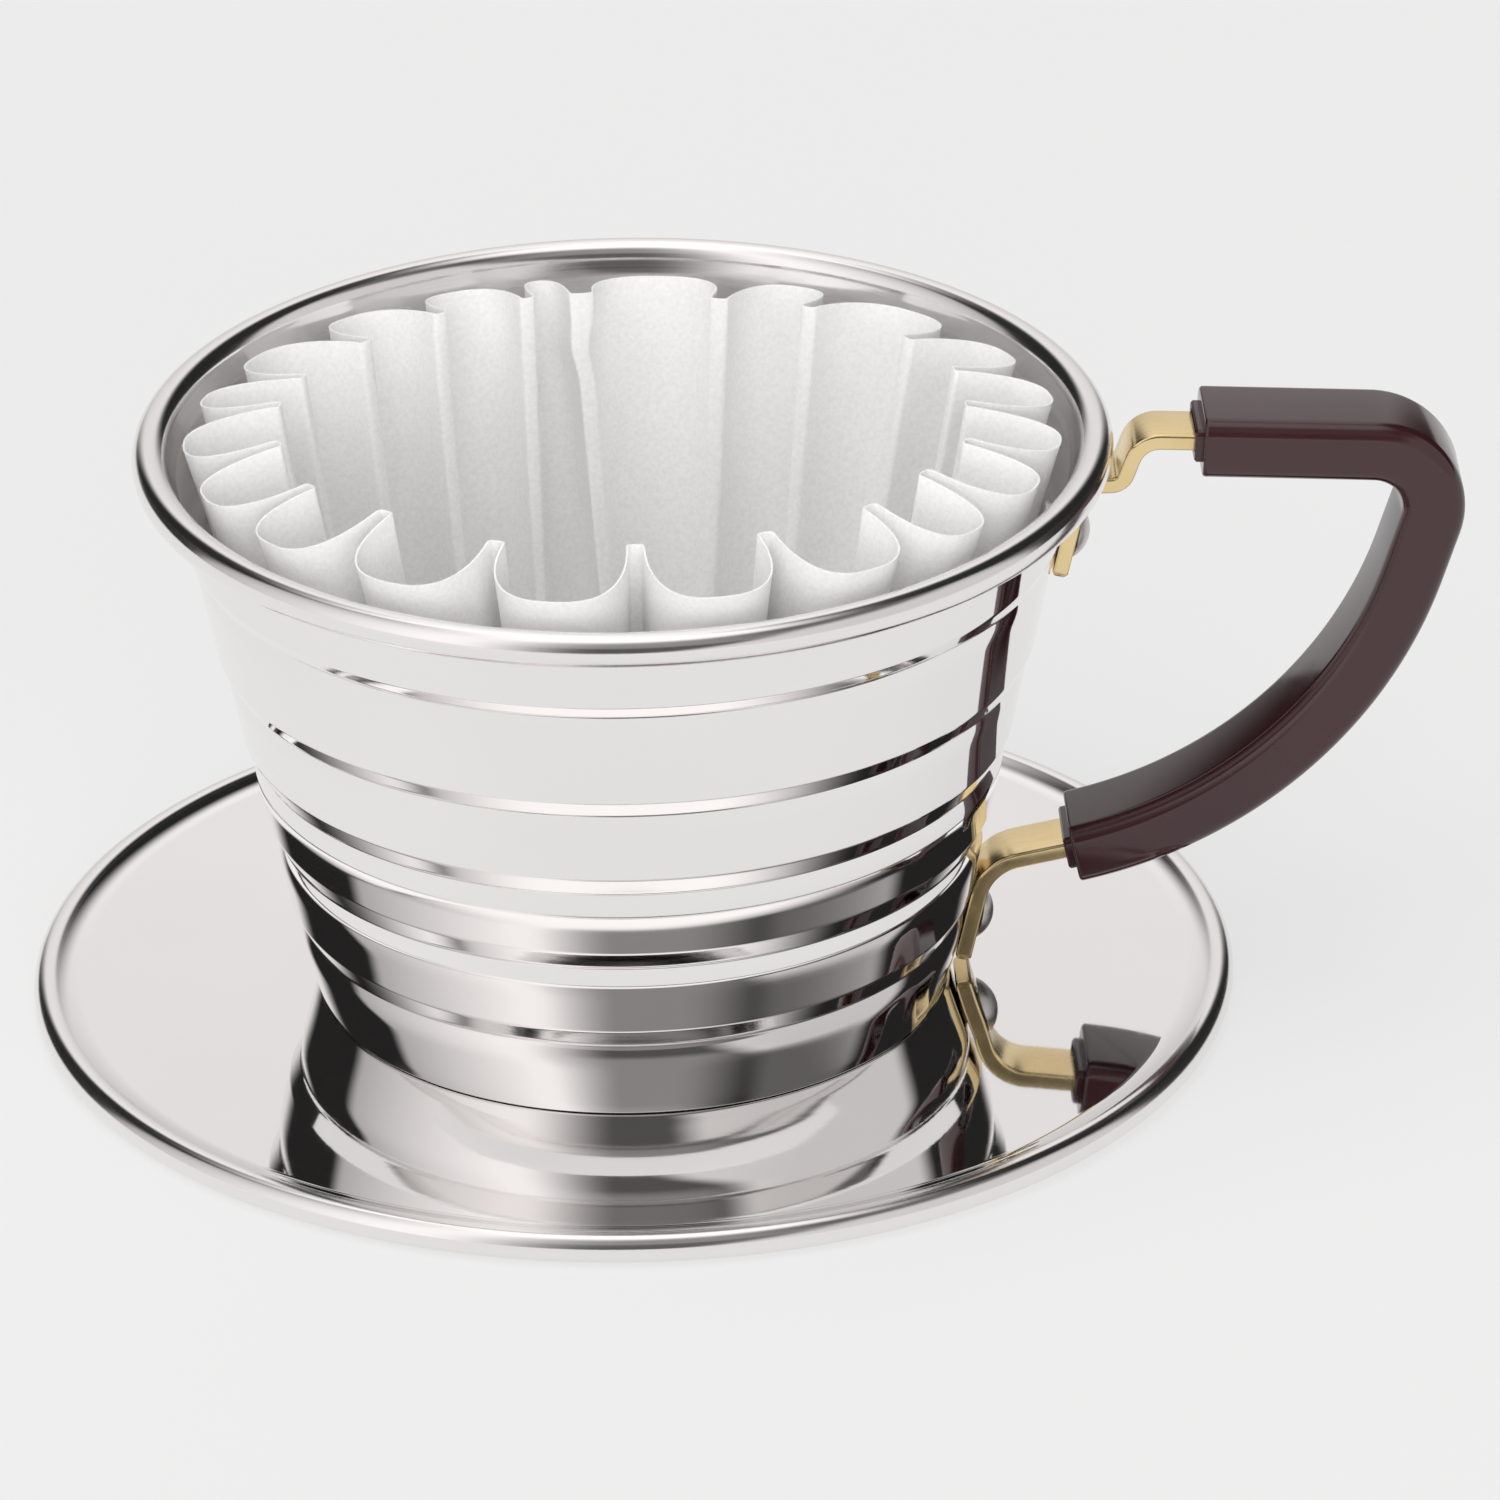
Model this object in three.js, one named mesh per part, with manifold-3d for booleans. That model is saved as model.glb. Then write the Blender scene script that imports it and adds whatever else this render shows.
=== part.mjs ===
// Pour over coffee dripper: a stepped steel cup crimped to a round saucer, a flat
// brass strap carrying a moulded grip, two rivets and a pleated paper filter.
// Millimetres, +Z up. The origin is on the cup's axis, on the plane that the
// saucer's rolled edge stands on. The handle points along +X.
import * as THREE from 'three';
import { mergeVertices } from 'three/addons/utils/BufferGeometryUtils.js';
import Module from 'manifold-3d';

const wasm = await Module();
wasm.setup();

// ---- driving dimensions ----
const roundSides = 48;
const curlSteps = 10;
const mergeTolerance = 1e-4;

// Saucer: one sheet with a flat seat, a shallow dish and an edge rolled downwards.
const saucerRadius = 60;
const saucerSheet = 0.6;
const saucerCurlRadius = 1.6;
const saucerSeatHeight = 1.5;
const saucerSeatWidth = 5.2;
const saucerDishSlope = 0.035;
const saucerGroove = 2.6;
const saucerCurlJoin = 126;
const saucerCurlEnd = -150;

// Cup: one sheet with a stepped conical wall, a rolled rim and a flat floor.
const cupSheet = 0.6;
const cupFootRadius = 31.5;
const wallSlope = 0.21;
const stepShares = [0.162, 0.328, 0.485, 0.651, 0.855];
const stepOut = 0.25;
const stepRise = 1.8;
const rimHeight = 57.3;
const rimOverhang = 3.32;
const rimCurlRadius = 1.7;
const rimCurlJoin = 180;
const rimCurlEnd = -110;

// Neck and crimp that hold the cup in the saucer, and the drained floor.
const neckSetback = 2;
const crimpReach = 1.8;
const crimpThickness = 0.5;
const drainHoleRadius = 2;
const drainCircleRadius = 9;
const drainSides = 24;
const ribCount = 3;
const ribInner = 4.5;
const ribOuter = 22;
const ribWidth = 2.4;
const ribHeight = 1;

// Handle strap: one flat strip bent round from one rivet to the other.
const strapWidth = 6.2;
const strapThickness = 1.6;
const strapEdge = 0.25;
const upperRivetBelowRim = 10.3;
const lowerRivetHeight = 5.3;
const upperTabBelowRivet = 4;
const lowerTabBelowRivet = 4.3;
const tabTopBelowRim = 4.65;
const riserFootOut = 0.8;
const riserTopOut = 2.5;
const elbowOut = 33.6;
const elbowBelowRim = 1.75;
const heelOut = 21.1;
const heelHeight = 17.95;
const lowerBendHeight = 11.2;
const tabTopBend = 1.8;
const riserFootBend = 1.6;
const riserTopBend = 2.8;
const elbowBend = 6.2;
const heelBend = 44.7;
const lowerBend = 5;
const bendRoomShare = 0.98;

// Grip: a moulded bar with a channel for the strap and a small collar at each end.
const gripWidth = 10.6;
const gripThickness = 6.2;
const gripEdge = 1.25;
const gripFromRiser = 5.9;
const gripFromLowerBend = 8.9;
const gripCornerSteps = 3;
const collarWall = 0.65;
const collarEdge = 0.6;
const collarLength = 0.8;
const channelEdge = 0.2;
const channelPast = 2;

// Rivets: a domed outer head, a shank and a flattened inner head.
const rivetHeadRadius = 2.6;
const rivetHeadHeight = 1.3;
const rivetShankRadius = 1.5;
const rivetInnerRadius = 2.5;
const rivetInnerHeight = 0.7;
const rivetInnerChamfer = 0.3;
const rivetDomeSteps = 5;
const rivetSides = 20;
const rivetCutterLength = 16;

// Paper filter: a flat base and a wall of pleats that open towards the rim.
const pleatCount = 20;
const filterBaseClearance = 2.4;
const filterRimClearance = 2;
const filterAboveRim = 1.7;
const filterFoldRise = 1.4;
const paperThickness = 0.4;
const pleatDepthBase = 0.8;
const pleatDepthRim = 8.9;
const pleatSharpness = 3.4;
const pleatStops = [0, 0.36, 0.64, 0.83, 0.94];
const filterLevels = [0, 0.34, 0.67, 1];

// Clearances between pieces.
const gap = 0.3;
const holeClearance = 0.3;

// ---- places that follow from them ----
const footHeight = saucerSeatHeight + gap;
const stepHeights = stepShares.map((share) => share * rimHeight);
const rimRadius = wallRadius(rimHeight) + rimOverhang;
const rimCentre = new THREE.Vector2(rimRadius - rimCurlRadius, footHeight + rimHeight);
const neckRadius = cupFootRadius - neckSetback;
const saucerOpening = neckRadius + gap;
const floorTop = cupSheet;
const upperRivetHeight = rimHeight - upperRivetBelowRim;
const filterBaseRadius = neckRadius - cupSheet - filterBaseClearance;
const filterRimRadius = rimRadius - 2 * rimCurlRadius - filterRimClearance;
const filterRimHeight = rimHeight + filterAboveRim;

// ---- shared helpers ----
function wallRadius(height) {
  // Outer radius of the cup's wall at a height above the foot.
  const steps = stepHeights.map((start) => {
    return stepOut * THREE.MathUtils.clamp((height - start + stepRise / 2) / stepRise, 0, 1);
  });
  return cupFootRadius + wallSlope * height + steps.reduce((sum, step) => sum + step, 0);
}

function arcPoints(centre, radius, startDegrees, endDegrees, count) {
  const points = [];
  for (let i = 0; i <= count; i += 1) {
    const angle = THREE.MathUtils.degToRad(startDegrees + ((endDegrees - startDegrees) * i) / count);
    points.push(new THREE.Vector2(
      centre.x + radius * Math.cos(angle),
      centre.y + radius * Math.sin(angle),
    ));
  }
  return points;
}

function point(x, y) {
  return new THREE.Vector2(x, y);
}

function lathe(profile, sides) {
  // Turns a profile, given anticlockwise with the radius as x, into a solid round +Z.
  const geometry = new THREE.LatheGeometry(profile, sides);
  geometry.rotateX(Math.PI / 2);
  return geometry;
}

function toSolid(geometry) {
  const bare = geometry.clone();
  bare.deleteAttribute('normal');
  bare.deleteAttribute('uv');
  const merged = mergeVertices(bare, mergeTolerance);
  const kept = [];
  for (let i = 0; i < merged.index.count; i += 3) {
    const corners = [0, 1, 2].map((k) => merged.index.getX(i + k));
    if (new Set(corners).size === 3) {
      kept.push(...corners);
    }
  }
  return new wasm.Manifold(new wasm.Mesh({
    numProp: 3,
    vertProperties: new Float32Array(merged.attributes.position.array),
    triVerts: new Uint32Array(kept),
  }));
}

function toGeometry(solid) {
  const mesh = solid.getMesh();
  const geometry = new THREE.BufferGeometry();
  geometry.setAttribute('position', new THREE.BufferAttribute(new Float32Array(mesh.vertProperties), 3));
  geometry.setIndex(new THREE.BufferAttribute(new Uint32Array(mesh.triVerts), 1));
  return geometry;
}

function roundedBox(width, height, edge, sidesPerCorner) {
  // Outline of a rectangle with rounded corners, anticlockwise, centred on zero.
  const corners = [
    [width / 2 - edge, height / 2 - edge, 0],
    [-width / 2 + edge, height / 2 - edge, 90],
    [-width / 2 + edge, -height / 2 + edge, 180],
    [width / 2 - edge, -height / 2 + edge, 270],
  ];
  return corners.flatMap(([x, y, start]) => arcPoints(point(x, y), edge, start, start + 90, sidesPerCorner));
}

function directionsAt(corners, i) {
  // Unit directions from a corner back to the one before it and on to the next.
  const here = corners[i].at;
  const back = corners[i - 1].at.clone().sub(here).normalize();
  const ahead = corners[i + 1].at.clone().sub(here).normalize();
  const halfAngle = Math.acos(THREE.MathUtils.clamp(back.dot(ahead), -1, 1)) / 2;
  return { here, back, ahead, halfAngle };
}

function bendRadii(corners) {
  // Each corner's bend radius, made smaller where two bends would run into each other.
  const tangents = corners.map((corner, i) => {
    return corner.bend ? corner.bend / Math.tan(directionsAt(corners, i).halfAngle) : 0;
  });
  const room = corners.slice(1).map((corner, i) => {
    const straight = corner.at.distanceTo(corners[i].at);
    return (bendRoomShare * straight) / (tangents[i] + tangents[i + 1]);
  });
  return corners.map((corner, i) => {
    return corner.bend ? corner.bend * Math.min(1, room[i - 1], room[i]) : 0;
  });
}

function roundedRoute(corners) {
  // Stations along a polyline in the handle's plane whose corners are rounded by arcs.
  const stations = [corners[0].at.clone()];
  const radii = bendRadii(corners);
  for (let i = 1; i < corners.length - 1; i += 1) {
    const { here, back, ahead, halfAngle } = directionsAt(corners, i);
    const tangent = radii[i] / Math.tan(halfAngle);
    const toCentre = back.clone().add(ahead).normalize().multiplyScalar(radii[i] / Math.sin(halfAngle));
    const centre = here.clone().add(toCentre);
    const start = here.clone().addScaledVector(back, tangent).sub(centre);
    const turn = Math.PI - 2 * halfAngle;
    const side = Math.sign(back.x * ahead.y - back.y * ahead.x);
    const count = Math.max(4, Math.ceil(turn / corners[i].step));
    for (let k = 0; k <= count; k += 1) {
      stations.push(start.clone().rotateAround(point(0, 0), (-side * turn * k) / count).add(centre));
    }
  }
  stations.push(corners[corners.length - 1].at.clone());
  return stations;
}

function routeLength(stations) {
  let length = 0;
  for (let i = 1; i < stations.length; i += 1) {
    length += stations[i].distanceTo(stations[i - 1]);
  }
  return length;
}

function cutRoute(stations, from, to) {
  // The part of a route between two distances along it.
  const cut = [];
  let travelled = 0;
  for (let i = 1; i < stations.length; i += 1) {
    const step = stations[i].distanceTo(stations[i - 1]);
    const next = travelled + step;
    if (cut.length === 0 && next > from) {
      cut.push(stations[i - 1].clone().lerp(stations[i], (from - travelled) / step));
    }
    if (cut.length > 0 && next < to && next > from) {
      cut.push(stations[i].clone());
    }
    if (next >= to && travelled < to) {
      cut.push(stations[i - 1].clone().lerp(stations[i], (to - travelled) / step));
    }
    travelled = next;
  }
  return cut;
}

function sweep(outline, stations) {
  // Sweeps an outline along a route in the XZ plane; outline x runs along Y.
  const count = outline.length;
  const positions = [];
  stations.forEach((station, i) => {
    const before = stations[Math.max(i - 1, 0)];
    const after = stations[Math.min(i + 1, stations.length - 1)];
    const into = station.clone().sub(before).normalize();
    const out = after.clone().sub(station).normalize();
    const along = into.add(out).normalize();
    const lift = point(-along.y, along.x);
    outline.forEach((corner) => {
      positions.push(station.x + lift.x * corner.y, corner.x, station.y + lift.y * corner.y);
    });
  });
  const faces = [];
  for (let i = 0; i < stations.length - 1; i += 1) {
    for (let j = 0; j < count; j += 1) {
      const a = i * count + j;
      const b = i * count + ((j + 1) % count);
      faces.push(a, b, b + count, a, b + count, a + count);
    }
  }
  const last = (stations.length - 1) * count;
  THREE.ShapeUtils.triangulateShape(outline, []).forEach(([a, b, c]) => {
    faces.push(a, c, b, last + a, last + b, last + c);
  });
  const geometry = new THREE.BufferGeometry();
  geometry.setAttribute('position', new THREE.Float32BufferAttribute(positions, 3));
  geometry.setIndex(faces);
  return geometry;
}

function material(color, roughness, metalness) {
  return new THREE.MeshStandardMaterial({ color, roughness, metalness });
}

// ---- saucer ----
function saucerGeometry() {
  const curl = point(saucerRadius - saucerCurlRadius, saucerCurlRadius);
  const seatEdge = saucerOpening + saucerSeatWidth;
  const grooveRadius = curl.x - saucerGroove;
  const grooveHeight = saucerSeatHeight + saucerDishSlope * (grooveRadius - seatEdge);
  const inner = saucerCurlRadius - saucerSheet;
  const underSeat = saucerSeatHeight - saucerSheet;
  return lathe([
    point(saucerOpening, underSeat),
    point(neckRadius + crimpReach + gap, underSeat),
    point(seatEdge, underSeat),
    point(grooveRadius, grooveHeight - saucerSheet),
    ...arcPoints(curl, inner, saucerCurlJoin, saucerCurlEnd, curlSteps),
    ...arcPoints(curl, saucerCurlRadius, saucerCurlEnd, saucerCurlJoin, curlSteps),
    point(grooveRadius, grooveHeight),
    point(seatEdge, saucerSeatHeight),
    point(saucerOpening, saucerSeatHeight),
    point(saucerOpening, underSeat),
  ], roundSides);
}

// ---- cup ----
function cupWallPoints(inset) {
  // The wall's corners from the foot to the rim, moved inwards by a sheet thickness.
  const heights = [inset];
  stepHeights.forEach((start) => {
    heights.push(start - stepRise / 2, start + stepRise / 2);
  });
  heights.push(rimHeight - rimCurlRadius);
  return heights.map((height) => point(wallRadius(height) - inset, footHeight + height));
}

function floorRib(index) {
  const ribLength = ribOuter - ribInner;
  const rib = new THREE.BoxGeometry(ribLength, ribWidth, ribHeight + cupSheet / 2);
  rib.translate(ribInner + ribLength / 2, 0, floorTop + ribHeight / 2 - cupSheet / 4);
  rib.rotateZ((2 * Math.PI * index) / ribCount);
  return toSolid(rib);
}

function drainHole(index) {
  const hole = new THREE.CylinderGeometry(drainHoleRadius, drainHoleRadius, 4 * cupSheet, drainSides);
  hole.rotateX(Math.PI / 2);
  hole.translate(drainCircleRadius, 0, floorTop / 2);
  hole.rotateZ((2 * Math.PI * (index + 0.5)) / ribCount);
  return toSolid(hole);
}

function cupGeometry() {
  const inner = rimCurlRadius - cupSheet;
  const profile = [
    point(0, 0),
    point(neckRadius + crimpReach, 0),
    point(neckRadius + crimpReach, crimpThickness),
    point(neckRadius, crimpThickness),
    point(neckRadius, footHeight),
    ...cupWallPoints(0),
    ...arcPoints(rimCentre, inner, rimCurlJoin, rimCurlEnd, curlSteps),
    ...arcPoints(rimCentre, rimCurlRadius, rimCurlEnd, rimCurlJoin, curlSteps),
    ...cupWallPoints(cupSheet).reverse(),
    point(neckRadius - cupSheet, footHeight + cupSheet),
    point(neckRadius - cupSheet, floorTop),
    point(0, floorTop),
  ];
  let cup = toSolid(lathe(profile, roundSides));
  for (let i = 0; i < ribCount; i += 1) {
    cup = cup.add(floorRib(i)).subtract(drainHole(i));
  }
  [upperRivet, lowerRivet].forEach((rivet) => {
    cup = cup.subtract(rivetHole(rivet));
  });
  return toGeometry(cup);
}

// ---- rivets ----
function rivetFrame(height) {
  // Where a rivet's axis leaves the cup's wall, and how far that axis is tilted.
  return {
    at: new THREE.Vector3(wallRadius(height), 0, footHeight + height),
    tilt: Math.PI / 2 + Math.atan(wallSlope),
  };
}

const upperRivet = rivetFrame(upperRivetHeight);
const lowerRivet = rivetFrame(lowerRivetHeight);

function placeOnWall(geometry, rivet) {
  geometry.rotateY(rivet.tilt);
  geometry.translate(rivet.at.x, rivet.at.y, rivet.at.z);
  return geometry;
}

function rivetHole(rivet) {
  const radius = rivetShankRadius + holeClearance;
  const hole = new THREE.CylinderGeometry(radius, radius, rivetCutterLength, rivetSides);
  hole.rotateX(Math.PI / 2);
  return toSolid(placeOnWall(hole, rivet));
}

function rivetGeometry(rivet) {
  const headBase = 2 * gap + strapThickness;
  const innerBase = -cupSheet - gap;
  const domeRadius = (rivetHeadRadius ** 2 + rivetHeadHeight ** 2) / (2 * rivetHeadHeight);
  const domeCentre = point(0, headBase + rivetHeadHeight - domeRadius);
  const rimAngle = THREE.MathUtils.radToDeg(Math.asin((domeRadius - rivetHeadHeight) / domeRadius));
  const dome = arcPoints(domeCentre, domeRadius, rimAngle, 90, rivetDomeSteps);
  dome[dome.length - 1].x = 0;
  return placeOnWall(lathe([
    point(0, innerBase - rivetInnerHeight),
    point(rivetInnerRadius - rivetInnerChamfer, innerBase - rivetInnerHeight),
    point(rivetInnerRadius, innerBase - rivetInnerHeight + rivetInnerChamfer),
    point(rivetInnerRadius, innerBase),
    point(rivetShankRadius, innerBase),
    point(rivetShankRadius, headBase),
    ...dome,
  ], rivetSides), rivet);
}

// ---- handle ----
function tabCentre(height) {
  // Centre of the strap where it lies along the wall.
  const across = (gap + strapThickness / 2) * Math.sqrt(1 + wallSlope ** 2);
  return point(wallRadius(height) + across, footHeight + height);
}

function strapRoute() {
  const arcStep = 0.24;
  const tabTop = rimHeight - tabTopBelowRim;
  const upperTabEnd = tabCentre(upperRivetHeight - upperTabBelowRivet);
  const upperTabTop = tabCentre(tabTop);
  return roundedRoute([
    { at: upperTabEnd },
    { at: upperTabTop, bend: tabTopBend, step: 2 * arcStep },
    { at: point(rimRadius + riserFootOut, upperTabTop.y), bend: riserFootBend, step: 2 * arcStep },
    { at: point(rimRadius + riserTopOut, rimCentre.y), bend: riserTopBend, step: arcStep },
    { at: point(rimRadius + elbowOut, rimCentre.y - elbowBelowRim), bend: elbowBend, step: arcStep },
    { at: point(rimRadius + heelOut, footHeight + heelHeight), bend: heelBend, step: arcStep / 3 },
    { at: tabCentre(lowerBendHeight), bend: lowerBend, step: arcStep },
    { at: tabCentre(lowerRivetHeight - lowerTabBelowRivet) },
  ]);
}

const handleRoute = strapRoute();
const riserTop = point(rimRadius + riserTopOut, rimCentre.y);
const gripStart = handleRoute.findIndex((station) => station.x > riserTop.x + gripFromRiser);
const gripEndX = tabCentre(lowerBendHeight).x + gripFromLowerBend;

function gripRoute(extra) {
  // The stretch of the strap's route inside the grip, lengthened at both ends.
  const before = handleRoute.slice(0, gripStart);
  const corner = before[before.length - 1];
  const from = routeLength(before) + (riserTop.x + gripFromRiser - corner.x) - extra;
  const lowerEnd = handleRoute.findIndex((station, i) => i > gripStart && station.x < gripEndX);
  const nearLower = handleRoute.slice(0, lowerEnd);
  const to = routeLength(nearLower) + (nearLower[nearLower.length - 1].x - gripEndX) + extra;
  return cutRoute(handleRoute, from, to);
}

function strapGeometry() {
  const outline = roundedBox(strapWidth, strapThickness, strapEdge, 1);
  let strap = toSolid(sweep(outline, handleRoute));
  [upperRivet, lowerRivet].forEach((rivet) => {
    strap = strap.subtract(rivetHole(rivet));
  });
  return toGeometry(strap);
}

function gripGeometry() {
  const channelWidth = strapWidth + 2 * gap;
  const channelHeight = strapThickness + 2 * gap;
  const collarWidth = channelWidth + 2 * collarWall;
  const collarHeight = channelHeight + 2 * collarWall;
  const barOutline = roundedBox(gripWidth, gripThickness, gripEdge, gripCornerSteps);
  const collarOutline = roundedBox(collarWidth, collarHeight, collarEdge, 1);
  const channelOutline = roundedBox(channelWidth, channelHeight, channelEdge, 1);
  const bar = toSolid(sweep(barOutline, gripRoute(0)));
  const collar = toSolid(sweep(collarOutline, gripRoute(collarLength)));
  const channel = toSolid(sweep(channelOutline, gripRoute(collarLength + channelPast)));
  return toGeometry(bar.add(collar).subtract(channel));
}

// ---- paper filter ----
function pleatAngles() {
  // Angle and depth share of every outline corner, from crest to fold and back.
  const half = Math.PI / pleatCount;
  const corners = [];
  for (let pleat = 0; pleat < pleatCount; pleat += 1) {
    const middle = (2 * pleat + 1) * half;
    const shares = [...pleatStops.slice(1).reverse().map((stop) => -stop), ...pleatStops];
    shares.forEach((share) => {
      const tipShare = pleatStops[pleatStops.length - 1];
      corners.push({ angle: middle + share * half, depth: (Math.abs(share) / tipShare) ** pleatSharpness });
    });
  }
  return corners;
}

function filterLoop(level, side) {
  // One closed loop of the pleated wall: level 0 at the base, 1 at the rim.
  const crest = THREE.MathUtils.lerp(filterBaseRadius, filterRimRadius, level);
  const depth = THREE.MathUtils.lerp(pleatDepthBase, pleatDepthRim, level);
  const base = floorTop + ribHeight + gap;
  const height = THREE.MathUtils.lerp(base, footHeight + filterRimHeight, level);
  const corners = pleatAngles();
  const flat = corners.map((corner) => {
    const radius = crest - depth * corner.depth;
    return point(radius * Math.cos(corner.angle), radius * Math.sin(corner.angle));
  });
  return flat.map((here, i) => {
    const into = here.clone().sub(flat[(i + flat.length - 1) % flat.length]).normalize();
    const out = flat[(i + 1) % flat.length].clone().sub(here).normalize();
    const along = into.add(out).normalize();
    const lift = filterFoldRise * level * corners[i].depth;
    const away = (side * paperThickness) / 2;
    return new THREE.Vector3(here.x + along.y * away, here.y - along.x * away, height + lift);
  });
}

function filterGeometry() {
  const outer = filterLevels.map((level) => filterLoop(level, 1));
  const inner = filterLevels.map((level) => filterLoop(level, -1));
  inner[0].forEach((corner) => {
    corner.z += paperThickness;
  });
  const loops = [...outer, ...inner.reverse()];
  const count = loops[0].length;
  const positions = loops.flat().flatMap((corner) => [corner.x, corner.y, corner.z]);
  const faces = [];
  for (let i = 0; i < loops.length - 1; i += 1) {
    for (let j = 0; j < count; j += 1) {
      const a = i * count + j;
      const b = i * count + ((j + 1) % count);
      faces.push(a, b, b + count, a, b + count, a + count);
    }
  }
  const under = loops.length * count;
  const over = under + 1;
  const last = (loops.length - 1) * count;
  positions.push(0, 0, outer[0][0].z, 0, 0, loops[loops.length - 1][0].z);
  for (let j = 0; j < count; j += 1) {
    const next = (j + 1) % count;
    faces.push(under, next, j, over, last + j, last + next);
  }
  const geometry = new THREE.BufferGeometry();
  geometry.setAttribute('position', new THREE.Float32BufferAttribute(positions, 3));
  geometry.setIndex(faces);
  return geometry;
}

// ---- assembly ----
const mirrorSteel = material(0xc9c6c4, 0.05, 1);
const rivetSteel = material(0xb9b7b2, 0.28, 1);
const brass = material(0xb79752, 0.3, 1);
const brownPlastic = material(0x2c1416, 0.2, 0);
const paper = material(0xf3f3f1, 0.9, 0);

const pieces = [
  ['saucer', saucerGeometry(), mirrorSteel],
  ['cup', cupGeometry(), mirrorSteel],
  ['handle_strap', strapGeometry(), brass],
  ['grip', gripGeometry(), brownPlastic],
  ['upper_rivet', rivetGeometry(upperRivet), rivetSteel],
  ['lower_rivet', rivetGeometry(lowerRivet), rivetSteel],
  ['paper_filter', filterGeometry(), paper],
];

const dripper = new THREE.Group();
pieces.forEach(([name, geometry, finish]) => {
  const mesh = new THREE.Mesh(geometry, finish);
  mesh.name = name;
  dripper.add(mesh);
});

export default dripper;
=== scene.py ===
"""Looks of a pour over coffee dripper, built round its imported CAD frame.

Metres, +Z up, the handle along +X. Shapes are worked out in millimetres and scaled
when their mesh is made.
"""

import math
import random

import bmesh
import bpy
import numpy as np
from mathutils import Matrix, Vector

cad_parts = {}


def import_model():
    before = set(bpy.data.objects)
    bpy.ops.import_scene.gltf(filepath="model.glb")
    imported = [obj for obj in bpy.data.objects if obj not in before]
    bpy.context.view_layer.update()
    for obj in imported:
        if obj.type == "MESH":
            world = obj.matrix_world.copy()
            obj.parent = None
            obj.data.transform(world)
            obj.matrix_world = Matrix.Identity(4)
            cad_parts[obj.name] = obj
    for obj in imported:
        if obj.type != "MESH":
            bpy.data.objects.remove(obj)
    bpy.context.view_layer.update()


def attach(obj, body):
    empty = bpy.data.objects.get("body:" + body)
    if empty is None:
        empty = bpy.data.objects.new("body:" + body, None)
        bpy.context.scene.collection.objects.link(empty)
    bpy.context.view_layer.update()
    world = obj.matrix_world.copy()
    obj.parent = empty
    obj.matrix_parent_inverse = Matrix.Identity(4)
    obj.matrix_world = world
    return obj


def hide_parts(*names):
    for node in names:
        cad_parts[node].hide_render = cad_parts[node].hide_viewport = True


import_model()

MM = 0.001
WELD = 2e-6  # metres: points nearer than this become one
ON_AXIS = 1e-6  # millimetres: a radius below this is the axis itself
SHARP_DEGREES = 35
SEED = 7

# ---- sizes in millimetres; steel, brass and plastic keep the frame's main sizes ----
ROUND_SIDES = 384
CURL_STEPS = 28

SHEET = 0.6
GAP = 0.3
SAUCER_CURL = 1.6
SAUCER_CURL_FROM, SAUCER_CURL_TO = 126, -150  # degrees
SAUCER_RADIUS = 60.0
SAUCER_SEAT = 1.5
SAUCER_SEAT_WIDTH = 5.2
SAUCER_SEAT_BLEND = 2.2
SAUCER_SLOPE = 0.035
SAUCER_GROOVE = 2.6
SAUCER_STOPS = 40
SAUCER_BEAD_SHARE = 0.6

FOOT = SAUCER_SEAT + GAP
SEATED_GAP = 0.05
FOOT_SEATED = SAUCER_SEAT + SEATED_GAP
FOOT_RADIUS = 31.5
WALL_SLOPE = 0.21
RIM_HEIGHT = 57.3
RIM_CURL = 1.7
RIM_CURL_FROM, RIM_CURL_TO = 180, -110  # degrees
RIM_OVERHANG = 3.32
STEP_SHARES = (0.162, 0.328, 0.485, 0.651, 0.855)
STEP_OUT = 0.25
STEP_RISE = 1.8
# the rolled steps, lowest first; a slope is radius gained for each millimetre of height
LEDGE_REACHES = (0.95, 1.0, 0.9, 0.8, 0.65)
LEDGE_SOFT = 0.5
LEDGE_SLOPE = 0.3
LIP_SOFT = 0.16
LIP_REACH = 0.13
LIP_SLOPE = 0.5
TUCK_REACHES = (2.6, 3.2, 2.4, 2.0, 2.0)
TUCK_SLOPES = (0.3, 0.26, 0.24, 0.16, 0.16)
TUCK_HOLD = 1.5  # above 1 the tuck keeps its full slope for a while before it fades
FOOT_FLARE = 0.1
FOOT_FLARE_REACH = 8.0
FOOT_ROUND = 0.35
FOOT_ROUND_TO = -12  # degrees
WALL_STOPS = 2400
WALL_SPACING = 0.6
WALL_START, WALL_START_INSIDE = 0.5, 1.1
STEP_SPACING = 0.06
STEP_MARGINS = (0.6, 0.4)
CLOSEST_POINTS = 0.05
LAST_SPACING = 0.3

NECK_SETBACK = 2.0
NECK_ROUND = 0.5
CRIMP_REACH = 1.8
CRIMP_THICKNESS = 0.5
HOLE_RADIUS = 2.0
HOLE_CIRCLE = 9.0
HOLE_SIDES = 64
INSIDE_TOP = 56.3
RIB_COUNT = 3
RIB_INNER = 4.5
RIB_OUTER = 22.0
RIB_WIDTH = 2.4
RIB_HEIGHT = 1.0
RIB_CROWN = 0.35
RIB_END_SHARE = 0.06
RIB_STATIONS = (0, 0.02, 0.06, 0.5, 0.94, 0.98, 1)

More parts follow.
